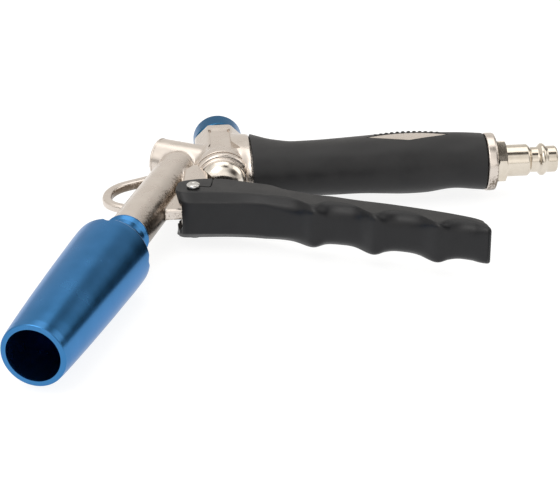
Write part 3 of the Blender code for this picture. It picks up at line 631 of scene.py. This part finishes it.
# ---------------------------------------------------------------- body casting
def cast_blank():
    """The rough casting as one voxel mesh, rounded most where its limbs run into each other."""
    stations = [(-3.2, HOUSING_AF, 10.6, 1.0), (-1.6, HOUSING_AF, COLLAR_R, 1.0),
                (-0.4, HOUSING_AF, 10.7, 0.9), (2.5, HOUSING_AF, 10.1, 0.5), (6.0, HOUSING_AF, 9.6, 0.0),
                (25.2, HOUSING_AF - 0.05, 9.6, 0.0), (26.0, HOUSING_AF - 0.4, 9.6, 0.0)]
    body = skin("body_casting", [octagon_ring(*row) for row in stations])
    neck = [grip_ring(*row, 0.35) for row in
            [(0.0, 9.6, -6.0, 21.5), (4.0, 10.5, -6.6, 22.9), (7.5, 10.85, -8.6, 23.2),
             (9.5, 10.95, -10.4, 22.6), (11.1, 10.95, -11.1, 21.9)]]
    dome = [(140.0 + 7.7 * math.sin(t) ** 0.9, BARREL_R * math.cos(t) ** 0.75)
            for t in (math.radians(8.5 * k) for k in range(1, 11))]
    lug = [(-5.6, -4.0), (-11.0, -4.0), (-13.6, -8.0), (-15.4, -26.0)]
    lug += arc(PIN[0], PIN[1], 4.6, 180.0, 180.0, 15) + [(-6.0, -26.0), (-5.6, -20.0)]
    gusset = [(-21.3, -35.6), (-11.0, -35.6), (-9.0, -6.0), (-14.0, -3.0), (-19.0, -8.0), (-28.5, -31.0)]
    boss = [(0.0, BOSS_R), (BOSS_LENGTH, BOSS_R), (BOSS_LENGTH, 3.0)]
    barrel = [(85.4, BARREL_R - 1.0), (85.4, BARREL_R), (140.0, BARREL_R)] + dome
    add(body, skin("neck", neck),
        turned("boss", boss, BOSS, BOSS_DIR, 72), turned("barrel", barrel, MOUTH, BACK, 72),
        prism("lug", lug, -LUG_HALF, LUG_HALF), prism("gusset", gusset, -GUSSET_HALF, GUSSET_HALF), hook())
    remesh(body, 0.36)

    def share(p):
        """More rounding where the boss, barrel and housing run into each other."""
        root = np.exp(-((p[:, 0] + 12.5) ** 2 + (p[:, 1] - 3.0) ** 2) / 90.0)
        neck_zone = np.exp(-((p[:, 0] - 6.0) ** 2 + (p[:, 1] - 8.0) ** 2) / 120.0)
        return np.clip(0.35 + 0.65 * np.maximum(root, 0.7 * neck_zone), 0.0, 1.0)

    relax(body, 26, share)
    return body


def add_crisp_forms(body):
    """The turned and machined forms, the handle's core and the pads in its windows."""
    r = COLLAR_R
    collar = [(-8.7, 8.5), (-8.3, 9.2), (-7.5, 9.3), (-7.5, r - 0.9), (-6.9, r - 0.4), (-5.2, r - 0.35),
              (-5.2, r - 0.95), (-4.7, r - 0.95), (-4.7, r - 0.1), (-4.3, r), (-2.0, r), (-2.0, 7.4)]
    add(body, turned("collar", collar, O, Y, 128, radius=0.18))
    spigot = [(73.0, 5.6), (73.5, 6.15), (84.5, 6.15), (84.5, BARREL_R - 0.35), (84.9, BARREL_R),
              (86.4, BARREL_R), (86.4, 5.0)]
    add(body, turned("spigot", spigot, MOUTH, BACK, 72, radius=0.12))
    rim = [(BOSS_LENGTH - 1.0, BOSS_R - 1.0), (BOSS_LENGTH - 1.0, BOSS_R),
           (BOSS_LENGTH - 0.9, BOSS_R + 0.1), (BOSS_LENGTH - 0.4, BOSS_R + 0.1),
           (BOSS_LENGTH, BOSS_R - 0.4), (BOSS_LENGTH, BOSS_R - 1.0)]
    add(body, turned("rim", rim, BOSS, BOSS_DIR, 96, radius=0.1))
    off = SLEEVE_T + GAP
    core = [grip_ring(10.0, *grip_at(11.4), off, 48)] + [grip_ring(*row, off, 48) for row in GRIP]
    core.append(grip_ring(99.9, *GRIP[-1][1:], off, 48))
    add(body, skin("core", core))
    fr = FLANGE_R
    flange = [(98.9, fr - 0.7), (98.9, fr - 0.2), (99.15, fr), (101.6, fr), (102.25, fr - 0.15),
              (102.6, fr - 0.9)]
    add(body, turned("flange", flange, O, X, 128, radius=0.15))
    for side in (1.0, -1.0):
        pad = skin("pad", [grip_ring(*row, 0.12) for row in GRIP_FINE[30:71]])
        combine(pad, prism("lens", window_outline(GAP), *outwards(side, 3.0)), "INTERSECT")
        add(body, pad)


def panel_tools():
    """The sunk panels on the housing's broad sides, with thin seams and round corners."""
    tools = []
    for side in (1.0, -1.0):
        rows = []
        for z, far, wide in ((HOUSING_AF - 0.6, 0.0, 0.0), (HOUSING_AF + 0.05, 1.6, 0.12),
                             (CLEAR, 1.6, 0.12)):
            outline = [(-3.6 - wide, 6.5), (-3.6 - wide, 19.4 + far), (-2.5, 20.6 + far), (2.9, 20.6 + far),
                       (4.0 + wide, 19.4 + far), (4.0 + wide, 6.5), (5.4 + wide, 3.6), (7.4, 0.6),
                       (-7.0, 0.6), (-5.0 - wide, 3.6)]
            rows.append([(p.x, p.y, side * z) for p in fillet([(x, y, 0.0) for x, y in outline], 0.3, 4)])
        tools.append(skin("panel", rows))
        for x in (-3.55, 3.95):
            seam = [(x - 0.15, 7.4), (x - 0.15, 19.5), (x + 0.15, 19.5), (x + 0.15, 7.4)]
            tools.append(prism("seam", seam, *outwards(side, HOUSING_AF - 0.85)))
        for x in (-3.35, 3.75):
            corner = [(x - 0.5, 18.6), (x - 0.5, 20.7), (x + 0.5, 20.7), (x + 0.5, 18.6)]
            tools.append(prism("panel_corner", corner, *outwards(side, HOUSING_AF - 1.0), 0.3))
    return tools


def bore_tools():
    """The holes for the valve, the air ways and the pivot pin."""
    tools = []
    dome = [(-14.3, 0.5), (-14.25, 3.7), (-13.9, 4.95), (-13.15, 6.5), (-12.1, 7.85), (-10.8, 8.75),
            (-9.6, 9.15), (-8.6, 9.15)]
    tools.append(turned("gland_clearance", dome, O, Y, 96, radius=0.5))
    tools.append(turned("gland_bore", [(-20.0, 6.5), (1.2, 6.5)], O, Y, 64))
    tools.append(turned("chamber", [(0.0, 5.2), (8.0, 5.2)], O, Y, 64))
    tools.append(turned("main_bore", [(6.0, 7.6), (24.0, 7.6), (24.0, 8.75), (30.0, 8.75)], O, Y, 64))
    tools.append(turned("boss_bore", [(0.0, 3.2), (BOSS_LENGTH - 7.0, 3.2), (BOSS_LENGTH - 7.0, 5.2),
                                      (BOSS_LENGTH + 4.0, 5.2)], BOSS, BOSS_DIR, 64))
    tools.append(turned("barrel_bore", [(70.0, 4.0), (141.0, 4.0)], MOUTH, BACK, 48))
    tools.append(turned("inlet_bore", [(30.0, 3.6), (90.0, 3.6)], O, X, 48))
    tools.append(turned("inlet_thread", [(86.0, 6.5), (101.1, 6.5), (101.1, 8.4), (110.0, 8.4)], O, X, 64))
    start = Vector((4.0, 13.5, 0.0))
    way = Vector((34.0, -0.5, 0.0)) - start
    tools.append(turned("cross_bore", [(0.0, 3.0), (way.length, 3.0)], start, way, 40))
    tools.append(turned("pin_hole", [(-9.0, 2.2), (9.0, 2.2)], (PIN[0], PIN[1], 0.0), Z, 40))
    return tools


def build_body(mat):
    body = cast_blank()
    add_crisp_forms(body)
    cut(body, *panel_tools(), *bore_tools())
    return dress(body, mat, "gun", "cast_nickel", "body", angle=38.0, weighted=False)


def hook():
    """The hanging loop beside the barrel, as a bar that narrows along its path."""
    path = [(-24.0, -2.6), (-29.0, -5.4), (-34.0, -7.8), (-37.6, -10.0), (-40.2, -13.0), (-41.7, -16.5),
            (-42.1, -20.2), (-41.4, -23.4), (-39.5, -26.0), (-36.8, -27.8), (-33.5, -29.2), (-30.0, -30.4)]
    path = [Vector((p[0], p[1], 0.0)) for p in smooth_rows(path, 4)]
    rings = []
    for i, p in enumerate(path):
        along = (path[min(i + 1, len(path) - 1)] - path[max(i - 1, 0)]).normalized()
        side = Z.cross(along)
        f = i / (len(path) - 1)
        w, h = 1.9 - 0.35 * f, 1.7 - 0.2 * f
        corners = [p + side * a + Z * b for a, b in ((w, h), (-w, h), (-w, -h), (w, -h))]
        rings.append(fillet(corners, 0.8, 3))
    return skin("hook", rings)


# ---------------------------------------------------------------- sleeve, lever, pin
def build_sleeve(mat):
    count, lip = 96, SLEEVE_LIP
    rows = [row for row in GRIP_FINE if GRIP[0][0] + 1.2 < row[0] < GRIP[-1][0] - 1.2]
    first, last = GRIP[0], GRIP[-1]
    rings = []
    for k in range(6):
        t = math.radians(18.0 * k)
        x = first[0] + lip * (1 - math.cos(t))
        rings.append(grip_ring(x, *grip_at(x), lip * (1 - math.sin(t)), count))
    for row in rows:
        ring = grip_ring(*row, 0.0, count)
        for k, (x, y, z) in enumerate(ring):
            deep = sum(d * math.exp(-((x - cx) / rx) ** 2 - ((y - cy) / ry) ** 2)
                       for cx, cy, rx, ry, d in HOLLOWS)
            out = Vector((0.0, y - (row[2] + row[3]) * 0.5, z)).normalized()
            ring[k] = (x, y - out.y * deep, z - out.z * deep)
        rings.append(ring)
    for k in range(6):
        t = math.radians(90.0 - 18.0 * k)
        x = last[0] - lip * (1 - math.cos(t))
        rings.append(grip_ring(x, *grip_at(x), lip * (1 - math.sin(t)), count))
    rings += [grip_ring(*row, SLEEVE_T, count) for row in reversed(GRIP)]
    sleeve = skin("grip_sleeve_soft", rings, closed=True)
    for side in (1.0, -1.0):
        cut(sleeve, prism("window", window_outline(0.0), *outwards(side, 4.0)))
        for k in range(NUB_COUNT):
            away = k - (NUB_COUNT - 1) * 0.5
            x = WINDOW[0] + away * NUB_PITCH
            y = WINDOW[1] + 1.35 + WINDOW[3] * (1.0 - ((x - WINDOW[0]) / WINDOW[2]) ** 2)
            half, front, back = grip_at(x)
            c = min(abs((y - (front + back) * 0.5) / ((back - front) * 0.5)), 1.0) ** (1.0 / 0.9)
            z = half * max(1.0 - c * c, 0.0) ** 0.45
            rise = 0.5 - 0.25 * abs(away) / (NUB_COUNT * 0.5)
            nub = [(-1.4, 0.76), (rise * 0.3, 0.72), (rise * 0.75, 0.56), (rise * 0.95, 0.3), (rise, 0.08)]
            add(sleeve, turned("nub", nub, (x, y, side * z), (0.0, 0.25, side), 16))
    return dress(sleeve, mat, "gun", "grip_rubber", "grip_sleeve")


def lever_rows():
    """The lever's stations with nine more between each two."""
    flat = [(*b, *c, *f, s, w) for b, c, f, s, w in LEVER]
    return [((r[0], r[1]), (r[2], r[3]), (r[4], r[5]), r[6], r[7]) for r in smooth_rows(flat, 10)]


def bay_depth(x):
    """0 at the finger ridges and ahead of them, 1 in the hollows between."""
    near = max(math.exp(-((x - ridge) / 4.0) ** 2) for ridge in RIDGES)
    start = min(max((x - 14.0) / 14.0, 0.0), 1.0)
    end = min(max((88.0 - x) / 6.0, 0.0), 1.0)
    return (1.0 - near) * start * end


def lever_ring(b, c, f, side, front, shrink=0.0):
    """Cross-section of the lever at one station; shrink draws it in for the rounded ends."""
    bay = bay_depth(f[0])
    d = (Vector(f) - Vector(b)).normalized() * shrink
    bx, by, s = b[0] + d.x, b[1] + d.y, side - shrink
    cx, cy = c[0], c[1] + 2.2 * bay
    fx, fy, w = f[0] - d.x, f[1] - d.y + 0.1 * bay, front - shrink - 1.5 * bay
    corners = [(bx, by, -s), (cx, cy, -s), (fx, fy, -w), (fx, fy, w), (cx, cy, s), (bx, by, s)]
    soft = min(max((cx + 4.0) / 26.0, 0.0), 1.0)
    radii = [0.5 + 0.4 * soft, 0.5 + 0.3 * soft + 0.8 * bay, 0.7 + 0.5 * soft + 1.9 * bay]
    return fillet(corners, radii + radii[::-1], 4)


def lever_shell():
    """The solid outer form; a rounded end takes the place of the first and last five rows."""
    rows = lever_rows()
    rings = []
    first, last = rows[0], rows[-1]
    for k in range(4):
        t = math.radians(30.0 * k)
        gone = 1.0 - math.cos(t)
        rings.append(lever_ring(*shifted(first, 0.5 * gone), shrink=0.5 * (1.0 - math.sin(t))))
    rings += [lever_ring(*row) for row in rows[5:-5]]
    for k in range(4):
        t = math.radians(90.0 - 30.0 * k)
        gone = 1.0 - math.cos(t)
        rings.append(lever_ring(*shifted(last, -1.1 * gone), shrink=1.1 * (1.0 - math.sin(t))))
    return skin("trigger_lever_grip", rings)


def lever_channel():
    """The hollow behind the finger side, between the two side walls."""
    rows = [((-24.0, -20.0), (-24.0, -36.8), CHANNEL_HALF)]
    for b, c, f, side, front in LEVER[1:-1]:
        rows.append(((b[0] + 1.2, b[1] + 5.0), (f[0] + 0.8, f[1] + 2.5), side - LEVER_WALL - 0.45))
    end = LEVER[-1]
    rows.append(((end[0][0] - 0.8, end[0][1] + 5.0), (end[2][0] - 1.8, end[2][1] + 2.4), 4.6))
    rings = []
    for b, f, z in rows:
        z = min(z, CHANNEL_HALF)
        rings.append([(b[0], b[1], -z), (f[0], f[1] + 0.8, -z), (f[0], f[1], -z + 0.8),
                      (f[0], f[1], z - 0.8), (f[0], f[1] + 0.8, z), (b[0], b[1], z)])
    return skin("channel", rings)


def build_lever(mat):
    lever = lever_shell()
    cut(lever, lever_channel())
    gap = fillet([(x, 0.0, z) for x, z in ((-24.0, -6.4), (-17.9, -5.9), (-15.6, -4.5), (-15.6, 4.5),
                                           (-17.9, 5.9), (-24.0, 6.4))], 0.6, 4)
    cut(lever, skin("notch", [[(p.x, y, p.z) for p in gap] for y in (-50.0, -20.0)]))
    x0, x1, top = PUSHER
    bar = [(x0, -38.9), (x1, -39.4), (x1, top), (x0, top)]
    add(lever, prism("bar", bar, -7.2, 7.2, 0.6))
    centre = Vector((PIN[0], PIN[1], 0.0))
    tail = [(-EAR_HALF - 0.75, 2.9), (-EAR_HALF - 0.45, 3.15), (-7.4, 3.15)]
    add(lever, turned("tail_boss", tail, centre, Z, 64, radius=0.2))
    # the pivot ears stand a little lower than the rest of the broad sides
    step = [(-9.4, -31.1), (-5.6, -32.2), (-4.9, -31.4), (-3.9, -25.4), (-3.9, -22.0)]
    path = with_normals(fillet([(x, y, 0.0) for x, y in step], 0.5, 3, closed=False))
    groove = ((-0.26, 12.0), (-0.26, 8.1), (0.26, 8.1), (0.26, 12.0))
    cut(lever, skin("step", [[(p.x + n.x * w, p.y + n.y * w, z) for w, z in groove] for p, n in path]))
    cut(lever, turned("hole", [(-12.0, 2.2), (12.0, 2.2)], centre, Z, 48))
    return dress(lever, mat, "trigger", "lever_plastic", "trigger_lever", angle=30.0)


def with_normals(path):
    """Each point of a path with the direction square to the path there."""
    out = []
    for i, p in enumerate(path):
        along = (Vector(path[min(i + 1, len(path) - 1)]) - Vector(path[max(i - 1, 0)])).normalized()
        out.append((Vector(p), Z.cross(along)))
    return out


def shifted(row, dx):
    """A lever station moved along X."""
    b, c, f, side, front = row
    return (b[0] + dx, b[1]), (c[0] + dx, c[1]), (f[0] + dx, f[1]), side, front


def build_pin(mat):
    top = EAR_HALF + GAP
    profile = [(-9.8, 1.5), (-9.5, 1.9), (top, 1.9), (top, 2.37), (top + 0.8, 2.37), (top + 1.2, 1.9),
               (top + 1.2, 0.9), (top + 1.05, 0.7)]
    pin = turned("pivot_pin_rivet", profile, (PIN[0], PIN[1], 0.0), Z, 64, radius=0.18)
    return dress(pin, mat, "gun", "pin_steel", "pivot_pin")


# ---------------------------------------------------------------- valve, nozzle and plugs
def build_gland(mat):
    gland = [(-13.9, 2.35), (-13.9, 3.4), (-13.6, 4.7), (-12.9, 6.2), (-11.9, 7.5), (-10.7, 8.4),
             (-9.6, 8.8), (-9.0, 8.6), (-9.0, 6.2), (-1.2, 6.2), (-1.2, 5.0), (0.9, 5.0), (0.9, 4.6),
             (-0.9, 4.6), (-0.9, 2.35)]
    obj = turned("gland_nut_turned", gland, O, Y, 128, closed=True, radius=0.5)
    return dress(obj, mat, "gun", "gland_nickel", "gland_nut")


def build_stem(mat):
    profile = [(-23.7, 0.7), (-23.3, 1.5), (-22.4, 2.0), (8.7, 2.0), (8.7, 1.5), (14.6, 1.5), (14.9, 1.2)]
    obj = turned("valve_stem_ground", profile, O, Y, 64, radius=0.25)
    return dress(obj, mat, "stem", "valve_steel", "valve_stem")


def build_cap(mat):
    r = 9.4
    profile = [(18.5, 7.0), (18.8, 7.3), (23.7, 7.3), (23.7, 7.0), (26.3, 7.0), (26.3, 9.1), (26.6, r),
               (34.4, r), (35.3, 9.1), (35.9, 8.3), (36.0, 7.6)]
    cap = turned("valve_cap_turned", profile, O, Y, 128, radius=0.25)
    cut(cap, turned("cap_bore", [(10.0, 5.2), (29.6, 5.2)], O, Y, 64),
        turned("cap_socket", [(34.0, 3.2), (40.0, 3.2)], O, Y, 6),
        turned("cap_lead_in", [(35.6, 2.75), (37.0, 4.6)], O, Y, 64))
    return dress(cap, mat, "gun", "cap_blue", "valve_cap")


def build_nozzle(mat, jet_mat):
    """The venturi tube with its hub and four scalloped air intakes, and the jet inside."""
    outer = [(0.25, 10.5), (3.0, 10.8), (8.0, 11.14), (14.0, 11.5), (23.0, 11.98), (32.0, 12.4),
             (41.0, 12.8), (51.0, 13.16), (60.0, 13.5), (66.0, 13.64), (68.4, 13.62), (69.1, 13.35)]
    rear = [(69.5, 12.6), (70.0, 11.2), (71.4, 9.0), (73.2, 7.6), (76.0, 7.05), (80.0, 7.0), (82.0, 7.35),
            (83.3, 8.05), (83.8, 8.12), (84.2, 8.0)]
    bore = [(84.2, 7.7), (83.0, 7.7), (83.0, 6.5), (70.5, 6.5), (70.5, 4.7), (67.0, 4.7), (67.0, 8.7),
            (65.6, 10.9), (63.5, 11.5), (58.0, 10.6), (50.0, 9.0), (42.0, 7.7), (34.0, 7.1), (26.0, 7.2),
            (12.0, 7.9), (1.0, 8.6), (0.0, 8.75), (0.0, 10.25)]
    shroud = turned("nozzle_shroud_turned", outer + rear + bore, MOUTH, BACK, 160, closed=True,
                    radius=0.12, steps=2)
    u = BACK.cross(Z).normalized()
    v = BACK.cross(u)
    for k in range(4):
        t = math.pi * 0.5 * k
        radial = u * math.cos(t) + v * math.sin(t)
        cut(shroud, turned("port", [(63.0, 1.9), (76.0, 1.9)], MOUTH + radial * 10.8, BACK, 40),
            turned("scallop", [(64.8, 0.6), (71.0, 5.0)], MOUTH + radial * 16.02, BACK, 64))
    dress(shroud, mat, "gun", "nozzle_blue", "nozzle_shroud")
    jet = [(60.0, 1.1), (60.0, 1.7), (60.5, 2.1), (65.4, 4.0), (65.9, 4.4), (70.8, 4.4), (70.8, 6.2),
           (72.6, 6.2), (72.6, 3.0), (70.0, 2.6), (64.0, 1.1)]
    obj = turned("nozzle_jet_turned", jet, MOUTH, BACK, 64, closed=True, radius=0.12)
    dress(obj, jet_mat, "gun", "jet_aluminium", "nozzle_jet")


def build_boss_plug(mat):
    end = BOSS_LENGTH
    profile = [(end - 6.5, 4.5), (end - 6.1, 4.9), (end - 0.5, 4.9), (end - 0.1, 4.5)]
    plug = turned("boss_plug_socket", profile, BOSS, BOSS_DIR, 72, radius=0.15)
    cut(plug, turned("socket", [(end - 3.4, 2.3), (end + 2.0, 2.3)], BOSS, BOSS_DIR, 6),
        turned("lead_in", [(end - 0.5, 1.9), (end + 1.0, 3.6)], BOSS, BOSS_DIR, 48))
    return dress(plug, mat, "gun", "plug_nickel", "boss_plug")


def build_quick_plug(mat):
    r = PLUG_AF / math.sqrt(3.0)
    corners = [(0.0, -r * math.cos(t), r * math.sin(t))
               for t in (math.radians(PLUG_TURN + 60.0 * i) for i in range(6))]
    section = fillet(corners, 0.35, 3)
    hexa = skin("quick_plug_turned", [[(x, p[1], p[2]) for p in section] for x in (102.9, 106.5)])
    # turned chamfers on both ends of the hexagon
    chamfer = [(102.9, 7.75), (103.5, 8.75), (105.9, 8.75), (106.5, 7.75)]
    combine(hexa, turned("chamfer", chamfer, O, X, 96), "INTERSECT")
    add(hexa, turned("tail", [(90.0, 5.7), (90.5, 6.2), (103.5, 6.2)], O, X, 64))
    nose = [(106.0, 5.5), (106.5, 6.0), (115.0, 6.0), (115.9, 5.2), (116.2, 4.75), (119.0, 4.75),
            (120.0, 5.95), (120.4, 6.1), (120.9, 6.1), (121.3, 5.95), (122.4, 5.0), (125.8, 5.0),
            (126.2, 4.6)]
    add(hexa, turned("nose", nose, O, X, 128, radius=0.3))
    cut(hexa, turned("bore", [(80.0, 3.6), (130.0, 3.6)], O, X, 64),
        turned("lead_in", [(125.5, 3.4), (127.0, 4.9)], O, X, 64))
    return dress(hexa, mat, "gun", "plug_steel", "quick_plug")


def build_spring(mat):
    """Coil spring with closed ends, built at one fixed length; the real one shortens by 2.9 mm against the
    cap as the stem slides in.
    """
    low, high, coil_r, wire, turns, per_turn = 13.3 + GAP, 29.6 - GAP, 4.0, 0.45, 7.0, 32
    start, end = low + wire, high - wire
    rings = []
    for k in range(int(turns * per_turn) + 1):
        turn = k / per_turn
        if turn < 1.0:
            y = start + turn
        elif turn > turns - 1.0:
            y = end - (turns - turn)
        else:
            y = start + 1.0 + (end - start - 2.0) * (turn - 1.0) / (turns - 2.0)
        out = Vector((math.cos(2.0 * math.pi * turn), 0.0, math.sin(2.0 * math.pi * turn)))
        rings.append([out * (coil_r + wire * math.cos(t)) + Vector((0.0, y + wire * math.sin(t), 0.0))
                      for t in (2.0 * math.pi * j / 14 for j in range(14))])
    spring = dress(skin("valve_spring_coil", rings), mat, "gun", "valve_steel", "valve_spring", angle=40.0)
    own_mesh(spring)
    return spring


# ---------------------------------------------------------------- everything together
def main():
    build_camera()
    build_floor()
    build_lights()
    build_room()
    nickel = cast_nickel()
    bright = turned_metal("plated_nickel_bright", (0.66, 0.60, 0.53), (0.74, 0.69, 0.62), 0.17, 0.0)
    steel = turned_metal("turned_steel_bright", (0.58, 0.57, 0.55), (0.68, 0.67, 0.66), 0.2, 0.0)
    plug_metal = turned_metal("plug_nickel_bright", (0.60, 0.54, 0.455), (0.69, 0.63, 0.545), 0.15,
                              math.radians(90.0))
    brass = turned_metal("turned_brass", (0.62, 0.42, 0.15), (0.72, 0.52, 0.22), 0.25, 0.0)
    aluminium = turned_metal("turned_aluminium", (0.70, 0.70, 0.71), (0.78, 0.79, 0.80), 0.25,
                             -NOZZLE_ANGLE)
    blue = anodised("anodised_blue", -NOZZLE_ANGLE, (0.038, 0.18, 0.41), (0.048, 0.20, 0.45), 0.2)
    cap_blue = anodised("anodised_blue_cap", 0.0, (0.020, 0.105, 0.21), (0.026, 0.118, 0.235), 0.1)
    seal = seal_rubber()

    build_body(nickel)
    build_sleeve(grip_rubber())
    build_lever(lever_plastic())
    build_pin(steel)
    build_gland(bright)
    build_stem(steel)
    build_cap(cap_blue)
    build_nozzle(blue, aluminium)
    build_boss_plug(bright)
    build_quick_plug(plug_metal)
    build_spring(steel)

    carried = {"gland_seal": seal, "gland_gasket": seal, "seat_seal": seal, "cap_seal": seal,
               "nozzle_seal": seal, "plug_seal": seal, "poppet_seal": seal, "valve_seat": brass,
               "valve_poppet": brass}
    for name, mat in carried.items():
        for material_slot in nodes[name].material_slots:
            material_slot.material = mat


main()
